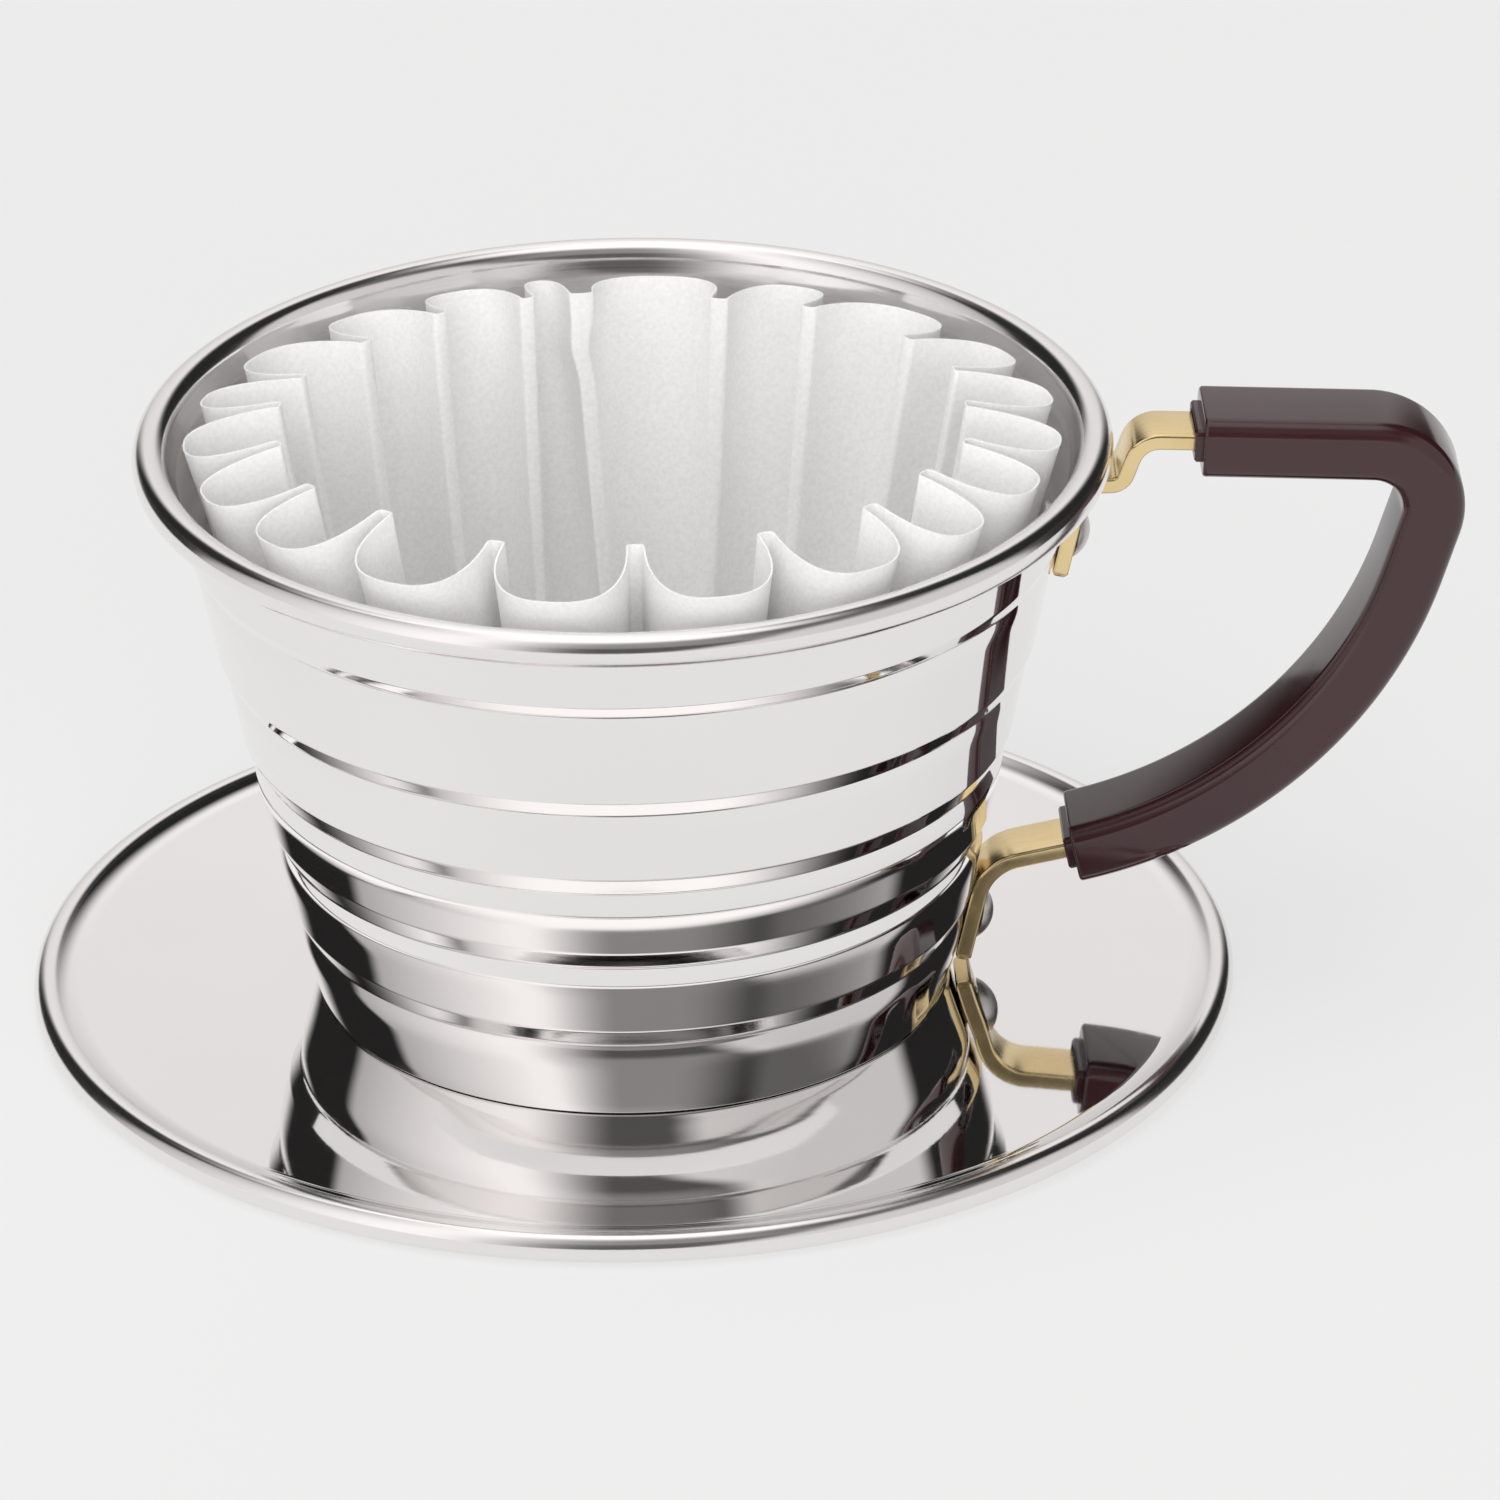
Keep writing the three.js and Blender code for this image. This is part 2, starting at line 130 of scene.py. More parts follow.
STRAP_WIDTH = 6.2
STRAP_THICKNESS = 1.6
STRAP_EDGE = 0.28
STRAP_EDGE_STEPS = 4
STRAP_END_EASE = 0.2
UPPER_RIVET_BELOW_RIM = 10.3
LOWER_RIVET_HEIGHT = 5.3
UPPER_TAB = 4.0
LOWER_TAB = 4.3
TAB_TOP_BELOW_RIM = 4.65
UPPER_TAB_BEND = 1.8
RISER_FOOT_OUT, RISER_FOOT_BEND = 0.8, 1.6
RISER_OUT, RISER_BEND = 2.5, 2.8
KNUCKLE_OUT, KNUCKLE_DROP, KNUCKLE_BEND = 33.6, 1.75, 6.2
SWEEP_OUT, SWEEP_HEIGHT, SWEEP_BEND = 21.1, 17.95, 44.7
LOWER_BEND_HEIGHT, LOWER_BEND = 11.2, 5.0
ROUTE_SPACING = 0.2
STRAP_SPACING = 0.35

GRIP_WIDTH = 10.6
GRIP_THICKNESS = 6.2
GRIP_EDGE = 1.7
GRIP_EDGE_STEPS = 8
GRIP_END_ROUND = 0.35
GRIP_END_STEPS = 5
GRIP_FROM_RISER = 5.9
GRIP_FROM_LOWER_BEND = 8.9
GRIP_SPACING = 0.5
GRIP_SHARP_DEGREES = 40
TOP_BAR_REACH = 3.0
CHANNEL_EDGE = 0.3
COLLAR_WALL = 0.65
COLLAR_LENGTH = 0.8
COLLAR_EDGE = 0.7
COLLAR_EASE, COLLAR_EASE_EDGE = 0.2, 0.55

RIVET_HEAD = 2.6
RIVET_HEAD_EASE = 0.1
RIVET_HEIGHT = 1.3
RIVET_SHANK = 1.5
RIVET_INNER = 2.5
RIVET_INNER_HEIGHT = 0.7
RIVET_INNER_ROUND = 0.3
RIVET_SIDES = 96
RIVET_CUTTER_LENGTH, RIVET_CUTTER_SIDES = 12, 48

# directions of the inner folds round the rim, in degrees from the handle;
# they start evenly at the base, where the fold at the front is at -90
FOLDS = (-171, -153, -134, -112, -89.5, -68, -48, -32, -15, 1)
FOLDS += (17, 34, 56, 72, 95, 104, 120, 137, 156, 170)
FRONT_FOLD = 4
PINCHED_FOLD = 14
PINCH_TURN, PINCH_LEVEL, PINCH_REACH = 0.9, 0.9, 0.035
PINCH_WIDENS, PINCH_WIDENS_FROM, PINCH_WIDENS_OVER = 0.4, 0.88, 0.1
FILTER_BASE = 26.0
FILTER_RIM = 43.0
FILTER_TOP = 60.3
FILTER_TILT = 2.1
FILTER_SHARP_DEGREES = 60
FOLD_DEPTH = 8.9
FOLD_BASE_DEPTH = 1.6
SHALLOWER_AT_BACK = 1.3
FOLD_HALF_WIDTH = 0.78
FOLD_BASE_WIDTH_SHARE = 0.4
FOLD_TIP_ROUND = 0.5
FOLD_LIFT = 1.9
FOLD_DRIFT = 0.8  # how soon up the wall the folds leave their even places
PAPER = 0.18
FLUTE_STOPS = 24
FOLD_STOPS = 9
PAPER_LEVELS = 40
DEPTH_SPREAD = (0.92, 1.07)
LIFT_SPREAD = (-0.3, 0.3)
SWAY_SPREAD = (-0.2, 0.2)
WIDTH_SPREAD = (0.85, 1.15)

FLOOR_HALF = 6000
FLOOR_DROP = 0.1
FLOOR_GLOW = 0.645
PAINTED_SHADOW_SHARE = 0.9  # share of the saucer's radius inside which the floor is dark: a painted shadow, where the floor's glow is turned off


# ---- camera ----
def make_camera():
    """The product view: a long lens in front of the handle's plane, 27 degrees up."""
    distance, lift = 1.17955, 1.6 * MM
    elevation = math.radians(27.177)
    pan, tilt, roll = math.radians(-0.588), math.radians(1.043), math.radians(1.235)
    handle_turn = math.radians(-1.2)
    lens, sensor = 282.56, 36
    place = Vector((0, -distance * math.cos(elevation), distance * math.sin(elevation)))
    forward = -place.normalized()
    right = Vector((1, 0, 0))
    up = right.cross(forward)
    turn = Matrix.Rotation(pan, 3, up)
    forward, right = turn @ forward, turn @ right
    turn = Matrix.Rotation(tilt, 3, right)
    forward, up = turn @ forward, turn @ up
    turn = Matrix.Rotation(roll, 3, forward)
    right, up = turn @ right, turn @ up
    basis = Matrix((right, up, -forward)).transposed()
    around = Matrix.Rotation(handle_turn, 3, "Z")
    data = bpy.data.cameras.new("camera")
    data.sensor_width = sensor
    data.lens = lens
    data.clip_start, data.clip_end = 0.05, 50
    camera = bpy.data.objects.new("camera", data)
    camera.matrix_world = (around @ basis).to_4x4()
    camera.location = around @ place + Vector((0, 0, lift))
    bpy.context.scene.collection.objects.link(camera)
    bpy.context.scene.camera = camera


make_camera()


# ---- mesh helpers ----
def arc(centre, radius, start, end, count):
    """Points round a centre from one angle to another, in degrees."""
    angles = np.radians(np.linspace(start, end, count + 1))
    return [(centre[0] + radius * math.cos(a), centre[1] + radius * math.sin(a)) for a in angles]


def make_object(name, vertices, faces, sharp_degrees=SHARP_DEGREES):
    """An object from vertices in millimetres."""
    mesh = bpy.data.meshes.new(name)
    mesh.from_pydata([tuple(v * MM for v in vertex) for vertex in vertices], [], faces)
    mesh.validate()
    mesh.shade_smooth()
    mesh.set_sharp_from_angle(angle=math.radians(sharp_degrees))
    made = bpy.data.objects.new(name, mesh)
    bpy.context.scene.collection.objects.link(made)
    return made


def lathe(profile, sides):
    """Vertices and faces of a profile turned round Z. It closes on itself or on the axis."""
    vertices, rings = [], []
    for radius, height in profile:
        start = len(vertices)
        if radius < ON_AXIS:
            vertices.append((0.0, 0.0, height))
            rings.append([start] * sides)
            continue
        for k in range(sides):
            angle = 2 * math.pi * k / sides
            vertices.append((radius * math.cos(angle), radius * math.sin(angle), height))
        rings.append(list(range(start, start + sides)))
    pairs = list(zip(rings[:-1], rings[1:]))
    if profile[0][0] > ON_AXIS:
        pairs.append((rings[-1], rings[0]))
    faces = []
    for low, high in pairs:
        for k in range(sides):
            n = (k + 1) % sides
            face = []
            for corner in (low[k], low[n], high[n], high[k]):
                if corner not in face:
                    face.append(corner)
            if len(face) > 2:
                faces.append(face)
    return vertices, faces


def cut(target, cutters, operation="DIFFERENCE"):
    """Takes closed objects out of a target, or joins them to it, and leaves one plain mesh."""
    for cutter in cutters:
        modifier = target.modifiers.new("cut", "BOOLEAN")
        modifier.operation = operation
        modifier.solver = "EXACT"
        modifier.object = cutter
    bpy.context.view_layer.update()
    shaped = target.evaluated_get(bpy.context.evaluated_depsgraph_get())
    mesh = bpy.data.meshes.new_from_object(shaped)
    target.modifiers.clear()
    clean = bmesh.new()
    clean.from_mesh(mesh)
    bmesh.ops.remove_doubles(clean, verts=clean.verts, dist=WELD)
    bmesh.ops.dissolve_degenerate(clean, edges=clean.edges, dist=WELD)
    clean.to_mesh(mesh)
    clean.free()
    old = target.data
    target.data = mesh
    bpy.data.meshes.remove(old)
    mesh.name = target.name
    mesh.set_sharp_from_angle(angle=math.radians(SHARP_DEGREES))
    for cutter in cutters:
        data = cutter.data
        bpy.data.objects.remove(cutter)
        bpy.data.meshes.remove(data)


def finish_piece(piece, body, node, materials):
    """Gives a piece its materials and puts it in the place of a node of the frame."""
    for surface in materials:
        piece.data.materials.append(surface)
    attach(piece, body)
    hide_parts(node)


# ---- places that follow from the sizes ----
STEP_HEIGHTS = [share * RIM_HEIGHT for share in STEP_SHARES]


def smooth(x):
    """0 below 0, 1 above 1, and an even S between them."""
    x = min(max(x, 0.0), 1.0)
    return x * x * (3 - 2 * x)


def wall_radius(height):
    """Outer radius of the cup's wall at a height above its foot."""
    steps = sum(smooth((height - at + STEP_RISE / 2) / STEP_RISE) for at in STEP_HEIGHTS)
    return FOOT_RADIUS + WALL_SLOPE * height + STEP_OUT * steps


def plateau(distance, reach, soft):
    """1 within reach of zero, 0 outside, with soft shoulders."""
    share = np.clip((reach - abs(distance)) / soft + 0.5, 0, 1)
    return share * share * (3 - 2 * share)


def shaped_wall():
    """The same wall with each step as a rolled ledge under which the band below is tucked in."""
    heights = np.linspace(0, RIM_HEIGHT, WALL_STOPS)
    slope = np.zeros_like(heights)
    steps = zip(STEP_HEIGHTS, LEDGE_REACHES, TUCK_REACHES, TUCK_SLOPES)
    for at, reach, tuck_reach, tuck_slope in steps:
        near = heights - at
        ledge = plateau(near, reach, LEDGE_SOFT)
        lip = plateau(near + reach + LIP_REACH, LIP_REACH, LIP_SOFT)
        below = near + reach + 2 * LIP_REACH
        tuck = np.where(below < 0, np.clip(TUCK_HOLD * (1 + below / tuck_reach), 0, 1), 0)
        slope += LEDGE_SLOPE * ledge + LIP_SLOPE * lip - tuck_slope * tuck
    slope += FOOT_FLARE * np.clip(1 - heights / FOOT_FLARE_REACH, 0, 1)
    gaps = np.diff(heights)
    rise = np.concatenate([[0], np.cumsum((slope[1:] + slope[:-1]) / 2 * gaps)])
    spare = wall_radius(RIM_HEIGHT) - FOOT_RADIUS - rise[-1]
    return heights, FOOT_RADIUS + rise + spare * heights / RIM_HEIGHT


WALL_HEIGHTS, WALL_RADII = shaped_wall()


def shaped_radius(height):
    """Outer radius of the shaped wall at a height above its foot."""
    return float(np.interp(height, WALL_HEIGHTS, WALL_RADII))


RIM_RADIUS = FOOT_RADIUS + WALL_SLOPE * RIM_HEIGHT + STEP_OUT * len(STEP_SHARES) + RIM_OVERHANG
RIM_CENTRE = (RIM_RADIUS - RIM_CURL, FOOT + RIM_HEIGHT)
NECK_RADIUS = FOOT_RADIUS - NECK_SETBACK
SEAT_OPENING = NECK_RADIUS + GAP
UPPER_RIVET_HEIGHT = RIM_HEIGHT - UPPER_RIVET_BELOW_RIM


# ---- saucer ----
def saucer():
    """A dished plate with a flat seat round its opening and its edge rolled downwards."""
    curl = (SAUCER_RADIUS - SAUCER_CURL, SAUCER_CURL)
    seat_edge = SEAT_OPENING + SAUCER_SEAT_WIDTH
    groove = curl[0] - SAUCER_GROOVE
    blend = SAUCER_SEAT_BLEND
    dish = []
    for k in range(SAUCER_STOPS + 1):
        radius = seat_edge - blend + (groove - seat_edge + blend) * k / SAUCER_STOPS
        rise = max(radius - seat_edge, 0.0)
        bend = max(blend - abs(radius - seat_edge), 0.0) ** 2 / (4 * blend)
        dish.append((radius, SAUCER_SEAT + SAUCER_SLOPE * (rise + bend)))
    inner = SAUCER_CURL - SHEET
    top = [(SEAT_OPENING, SAUCER_SEAT), *dish]
    under = [(radius, height - SHEET) for radius, height in top]
    profile = [
        *under,
        *arc(curl, inner, SAUCER_CURL_FROM, SAUCER_CURL_TO, CURL_STEPS),
        *arc(curl, SAUCER_CURL, SAUCER_CURL_TO, SAUCER_CURL_FROM, CURL_STEPS),
        *reversed(top),
    ]
    made = make_object("saucer_plate", *lathe(profile, ROUND_SIDES))
    for face in made.data.polygons:
        reach = math.hypot(face.center.x, face.center.y) / MM
        face.material_index = int(reach > curl[0] - SAUCER_CURL * SAUCER_BEAD_SHARE)
    return made


# ---- cup ----
def wall_points(inset, lowest, fine):
    """The wall's outline from foot to rim, moved in by inset; fine adds points at the steps."""
    top = RIM_HEIGHT - RIM_CURL
    heights = list(np.arange(lowest, top, WALL_SPACING))
    if fine:
        below, above = STEP_MARGINS
        for at, reach in zip(STEP_HEIGHTS, LEDGE_REACHES):
            heights += list(np.arange(at - reach - below, at + reach + above, STEP_SPACING))
    heights = sorted(height for height in heights if lowest <= height < top - LAST_SPACING)
    kept = [heights[0]]
    for height in heights:
        if height - kept[-1] > CLOSEST_POINTS:
            kept.append(height)
    return [(shaped_radius(height) - inset, FOOT + height) for height in (*kept, top)]


def foot_arc(inset):
    """The rounded corner between the cup's wall and its foot."""
    centre = (shaped_radius(0) - inset - FOOT_ROUND, FOOT_SEATED + inset + FOOT_ROUND)
    return arc(centre, FOOT_ROUND, -90, FOOT_ROUND_TO, 8)


def cylinder(radius, length, sides, place):
    """A plain cylinder to cut with, centred on its place."""
    profile = [(0, -length / 2), (radius, -length / 2), (radius, length / 2), (0, length / 2)]
    made = make_object("cutter", *lathe(profile, sides))
    made.data.transform(place)
    return made


def rivet_place(height):
    """Turns +Z to the wall's outward normal where a rivet's axis leaves it."""
    tilt = math.pi / 2 + math.atan(WALL_SLOPE)
    at = Matrix.Translation(Vector((wall_radius(height), 0, FOOT + height)) * MM)
    return at @ Matrix.Rotation(tilt, 4, "Y")


def rivet_cutter(height):
    """The hole for a rivet's shank, with its clearance."""
    place = rivet_place(height)
    return cylinder(RIVET_SHANK + GAP, RIVET_CUTTER_LENGTH, RIVET_CUTTER_SIDES, place)


def floor_rib(index):
    """A bar with a rounded top on the cup's floor, which keeps the filter off it."""
    base, top = SHEET / 2, SHEET + RIB_HEIGHT
    side = RIB_WIDTH / 2
    section = [(side, base), (side, top - RIB_CROWN), (side - RIB_CROWN, top)]
    section += [(-x, z) for x, z in reversed(section)]
    stations = []
    for share in RIB_STATIONS:
        past = max(abs(share - 0.5) - (0.5 - RIB_END_SHARE), 0)
        lower = past / RIB_END_SHARE * RIB_CROWN
        reach = RIB_INNER + (RIB_OUTER - RIB_INNER) * share
        stations.append([(reach, x, min(z, top - lower)) for x, z in section])
    made = make_object("rib", *skin(stations, False))
    made.data.transform(Matrix.Rotation(2 * math.pi * index / RIB_COUNT, 4, "Z"))
    return made


def drain_cutter(index):
    """One of the drain holes, between two ribs."""
    angle = 2 * math.pi * (index + 0.5) / RIB_COUNT
    centre = Vector((HOLE_CIRCLE * math.cos(angle), HOLE_CIRCLE * math.sin(angle), SHEET / 2))
    return cylinder(HOLE_RADIUS, 4 * SHEET, HOLE_SIDES, Matrix.Translation(centre * MM))


def cup_surface(face):
    """Material of a face of the cup: 0 mirror outside, 1 brushed inside, 2 the rim's bead."""
    x, y, z = face.center
    outward = face.normal.x * x + face.normal.y * y > 0
    reach, height = math.hypot(x, y) / MM, z / MM
    in_bowl = reach < shaped_radius(height - FOOT) and height < FOOT + INSIDE_TOP
    on_floor = face.normal.z > 0.5 and reach < NECK_RADIUS
    if in_bowl and (on_floor or not outward) and z > SHEET * MM / 2:
        return 1
    return 2 if height > FOOT + RIM_HEIGHT - RIM_CURL else 0


def cup():
    """One sheet: floor and neck, stepped wall and curled rim, with its ribs and holes."""
    wall_out = wall_points(0, WALL_START, True)
    wall_in = wall_points(SHEET, WALL_START_INSIDE, False)
    crimp = CRIMP_THICKNESS / 2
    neck_inside = NECK_RADIUS - SHEET
    profile = [
        (0, 0),
        *arc((NECK_RADIUS + CRIMP_REACH - crimp, crimp), crimp, -90, 90, 8),
        (NECK_RADIUS, CRIMP_THICKNESS),
        (NECK_RADIUS, FOOT_SEATED),
        *foot_arc(0),
        *wall_out,
        *arc(RIM_CENTRE, RIM_CURL - SHEET, RIM_CURL_FROM, RIM_CURL_TO, CURL_STEPS),
        *arc(RIM_CENTRE, RIM_CURL, RIM_CURL_TO, RIM_CURL_FROM, CURL_STEPS),
        *reversed(wall_in),
        *reversed(foot_arc(SHEET)),
        (neck_inside, FOOT + SHEET),
        *arc((neck_inside - NECK_ROUND, SHEET + NECK_ROUND), NECK_ROUND, 0, -90, 6),
        (0, SHEET),
    ]
    made = make_object("cup_shell", *lathe(profile, ROUND_SIDES))
    cutters = [rivet_cutter(UPPER_RIVET_HEIGHT), rivet_cutter(LOWER_RIVET_HEIGHT)]
    cutters += [drain_cutter(k) for k in range(RIB_COUNT)]
    cut(made, [floor_rib(k) for k in range(RIB_COUNT)], "UNION")
    cut(made, cutters)
    for face in made.data.polygons:
        face.material_index = cup_surface(face)
    return made


# ---- handle ----
def tab_centre(height):
    """The middle of the strap where it lies along the wall."""
    across = (GAP + STRAP_THICKNESS / 2) * math.sqrt(1 + WALL_SLOPE**2)
    return np.array((wall_radius(height) + across, FOOT + height))


def rounded_route(corners, spacing):
    """Stations along a polyline whose corners are rounded by arcs; corners are (point, bend)."""
    stations = [corners[0][0]]
    for k in range(1, len(corners) - 1):
        here, bend = corners[k]
        back = corners[k - 1][0] - here
        ahead = corners[k + 1][0] - here
        back, ahead = back / np.linalg.norm(back), ahead / np.linalg.norm(ahead)
        half = math.acos(np.clip(back @ ahead, -1, 1)) / 2
        middle = back + ahead
        centre = here + middle / np.linalg.norm(middle) * bend / math.sin(half)
        start = here + back * bend / math.tan(half) - centre
        turn = math.pi - 2 * half
        side = np.sign(back[0] * ahead[1] - back[1] * ahead[0])
        count = max(8, math.ceil(turn * bend / spacing))
        for j in range(count + 1):
            a = -side * turn * j / count
            spin = np.array(((math.cos(a), -math.sin(a)), (math.sin(a), math.cos(a))))
            stations.append(spin @ start + centre)
    stations.append(corners[-1][0])
    return stations


def strap_route():
    """The middle of the strap from the upper tab's end to the lower tab's end."""
    tab_top = tab_centre(RIM_HEIGHT - TAB_TOP_BELOW_RIM)
    rim = RIM_CENTRE[1]
    corners = [
        (tab_centre(UPPER_RIVET_HEIGHT - UPPER_TAB), 0),
        (tab_top, UPPER_TAB_BEND),
        (np.array((RIM_RADIUS + RISER_FOOT_OUT, tab_top[1])), RISER_FOOT_BEND),
        (np.array((RIM_RADIUS + RISER_OUT, rim)), RISER_BEND),
        (np.array((RIM_RADIUS + KNUCKLE_OUT, rim - KNUCKLE_DROP)), KNUCKLE_BEND),
        (np.array((RIM_RADIUS + SWEEP_OUT, FOOT + SWEEP_HEIGHT)), SWEEP_BEND),
        (tab_centre(LOWER_BEND_HEIGHT), LOWER_BEND),
        (tab_centre(LOWER_RIVET_HEIGHT - LOWER_TAB), 0),
    ]
    return rounded_route(corners, ROUTE_SPACING)


def dense(stations, spacing):
    """The same route with more stations on its straights, evenly spaced."""
    points = np.array(stations)
    lengths = np.concatenate([[0], np.cumsum(np.linalg.norm(np.diff(points, axis=0), axis=1))])
    kept = np.concatenate([[True], np.diff(lengths) > 1e-6])
    points, lengths = points[kept], lengths[kept]
    marks = np.linspace(0, lengths[-1], max(2, int(lengths[-1] / spacing)))
    return np.stack([np.interp(marks, lengths, points[:, k]) for k in (0, 1)], axis=1)


def between(route, start_x, end_x):
    """First and last station of the handle's route inside the grip."""
    low = RIM_CENTRE[1] - TOP_BAR_REACH
    first = next(k for k, (x, z) in enumerate(route) if x > start_x and z > low)
    last = next(k for k in range(first + 1, len(route)) if route[k][0] < end_x)
    return first, last


def rounded_box(width, height, edge, steps):
    """A rectangular outline with rounded corners."""
    outline = []
    for sx, sy, start in ((1, 1, 0), (-1, 1, 90), (-1, -1, 180), (1, -1, 270)):
        centre = (sx * (width / 2 - edge), sy * (height / 2 - edge))
        outline.extend(arc(centre, edge, start, start + 90, steps))
    return outline


def frames(route):
    """Each station with the directions square to the route and along it, in the handle's plane."""
    route = np.asarray(route)
    along = np.gradient(route, axis=0)
    along /= np.linalg.norm(along, axis=1)[:, None]
    return [(at, np.array((-t[1], t[0])), t) for at, t in zip(route, along)]


def skin(loops, closed):
    """Vertices and faces through loops of equal length; closed joins the last to the first."""
    count = len(loops[0])
    vertices = [tuple(v) for loop in loops for v in loop]
    pairs = [(i, i + 1) for i in range(len(loops) - 1)]
    if closed:
        pairs.append((len(loops) - 1, 0))
    faces = []
    for low, high in pairs:
        for j in range(count):
            n = (j + 1) % count
            faces.append((low * count + j, low * count + n, high * count + n, high * count + j))
    if not closed:
        faces.append(tuple(reversed(range(count))))
        faces.append(tuple(range((len(loops) - 1) * count, len(loops) * count)))
    return vertices, faces


def loop_at(outline, station, shift=0.0):
    """An outline placed square to the route at a station, moved along the route by shift."""
    at, lift, along = station
    at = at + along * shift
    return [(at[0] + lift[0] * y, x, at[1] + lift[1] * y) for x, y in outline]


def strap():
    """One flat strip from tab to tab, with a hole for each rivet."""
    ease = 2 * STRAP_END_EASE
    outline = rounded_box(STRAP_WIDTH, STRAP_THICKNESS, STRAP_EDGE, STRAP_EDGE_STEPS)
    small = rounded_box(STRAP_WIDTH - ease, STRAP_THICKNESS - ease, STRAP_EDGE, STRAP_EDGE_STEPS)
    stations = frames(dense(strap_route(), STRAP_SPACING))
    loops = [loop_at(small, stations[0])]
    loops += [loop_at(outline, station) for station in stations[1:-1]]
    loops.append(loop_at(small, stations[-1]))
    made = make_object("brass_strap", *skin(loops, False))
    cut(made, [rivet_cutter(UPPER_RIVET_HEIGHT), rivet_cutter(LOWER_RIVET_HEIGHT)])
    return made


def grip():
    """A bar with softly rounded ends, a collar at each end and the strap's channel."""
    route = dense(strap_route(), GRIP_SPACING)
    start_x = RIM_RADIUS + RISER_OUT + GRIP_FROM_RISER
    end_x = tab_centre(LOWER_BEND_HEIGHT)[0] + GRIP_FROM_LOWER_BEND
    first, last = between(route, start_x, end_x)
    stations = frames(route)[first : last + 1]

    def section(grow, edge):
        """The strap's outline, larger by grow on every side."""
        size = (STRAP_WIDTH + 2 * grow, STRAP_THICKNESS + 2 * grow)
        return rounded_box(*size, edge, GRIP_EDGE_STEPS)

    def bar(shrink):
        size = (GRIP_WIDTH - 2 * shrink, GRIP_THICKNESS - 2 * shrink)
        return rounded_box(*size, GRIP_EDGE - shrink, GRIP_EDGE_STEPS)

    channel = section(GAP, CHANNEL_EDGE)
    collar = section(GAP + COLLAR_WALL, COLLAR_EDGE)
    collar_end = section(GAP + COLLAR_WALL - COLLAR_EASE, COLLAR_EASE_EDGE)

    def end(station, outward):
        """Loops from the channel's mouth over the collar to the bar."""
        loops = [
            loop_at(channel, station, outward * (COLLAR_LENGTH - COLLAR_EASE / 2)),
            loop_at(collar_end, station, outward * COLLAR_LENGTH),
            loop_at(collar, station, outward * (COLLAR_LENGTH - COLLAR_EASE)),
            loop_at(collar, station),
        ]
        for k in range(GRIP_END_STEPS + 1):
            angle = math.pi / 2 * k / GRIP_END_STEPS
            shrink = GRIP_END_ROUND * (1 - math.sin(angle))
            shift = -outward * GRIP_END_ROUND * (1 - math.cos(angle))
            loops.append(loop_at(bar(shrink), station, shift))
        return loops

    loops = end(stations[0], -1)
    loops += [loop_at(bar(0), station) for station in stations[1:-1]]
    loops += reversed(end(stations[-1], 1))
    loops += [loop_at(channel, station) for station in reversed(stations[1:-1])]
    return make_object("handle_grip", *skin(loops, True), GRIP_SHARP_DEGREES)


# ---- rivets ----
def rivet(name, height):
    """Domed outer head, shank and flattened inner head, turned round the rivet's axis."""
    head_base = 2 * GAP + STRAP_THICKNESS
    inner_base = -SHEET - GAP
    dome = (RIVET_HEAD**2 + RIVET_HEIGHT**2) / (2 * RIVET_HEIGHT)
    centre = (0, head_base + RIVET_HEIGHT - dome)
    rim_angle = math.degrees(math.asin((dome - RIVET_HEIGHT) / dome))
    top = arc(centre, dome, rim_angle, 90, 20)
    top[-1] = (0, top[-1][1])
    lip, lip_round = inner_base - RIVET_INNER_HEIGHT, RIVET_INNER_ROUND
    profile = [
        (0, lip),
        *arc((RIVET_INNER - lip_round, lip + lip_round), lip_round, -90, 0, 5),
        (RIVET_INNER, inner_base),
        (RIVET_SHANK, inner_base),
        (RIVET_SHANK, head_base),
        (RIVET_HEAD - RIVET_HEAD_EASE, head_base),
        *top,
    ]
    made = make_object(name, *lathe(profile, RIVET_SIDES))
    made.data.transform(rivet_place(height))
    return made


# ---- materials ----
def new_material(name):
    made = bpy.data.materials.new(name)
    made.use_nodes = True
    nodes, links = made.node_tree.nodes, made.node_tree.links
    return made, nodes, links, nodes["Principled BSDF"]


def noise(nodes, links, scale, detail=4.0, stretch=None):
    """A noise texture in the piece's own coordinates, stretched where asked."""
    place = nodes.new("ShaderNodeTexCoord")
    made = nodes.new("ShaderNodeTexNoise")
    made.inputs["Scale"].default_value = scale
    made.inputs["Detail"].default_value = detail
    if stretch:
        mapping = nodes.new("ShaderNodeMapping")
        mapping.inputs["Scale"].default_value = stretch
        links.new(place.outputs["Object"], mapping.inputs["Vector"])
        links.new(mapping.outputs["Vector"], made.inputs["Vector"])
    else:
        links.new(place.outputs["Object"], made.inputs["Vector"])
    return made.outputs["Fac"]


def ramp(nodes, links, value, low, high, from_low=0.3, from_high=0.7):
    """Low where the value is from_low or less, high where it is from_high or more."""
    made = nodes.new("ShaderNodeMapRange")
    made.inputs["From Min"].default_value = from_low
    made.inputs["From Max"].default_value = from_high
    made.inputs["To Min"].default_value = low
    made.inputs["To Max"].default_value = high
    links.new(value, made.inputs["Value"])
    return made.outputs["Result"]


def bump(nodes, links, value, strength, distance):
    made = nodes.new("ShaderNodeBump")
    made.inputs["Strength"].default_value = strength
    made.inputs["Distance"].default_value = distance
    links.new(value, made.inputs["Height"])
    return made


def mix_colour(nodes, links, value, first, second):
    made = nodes.new("ShaderNodeMix")
    made.data_type = "RGBA"
    made.inputs[6].default_value = (*first, 1)
    made.inputs[7].default_value = (*second, 1)
    links.new(value, made.inputs[0])
    return made.outputs[2]


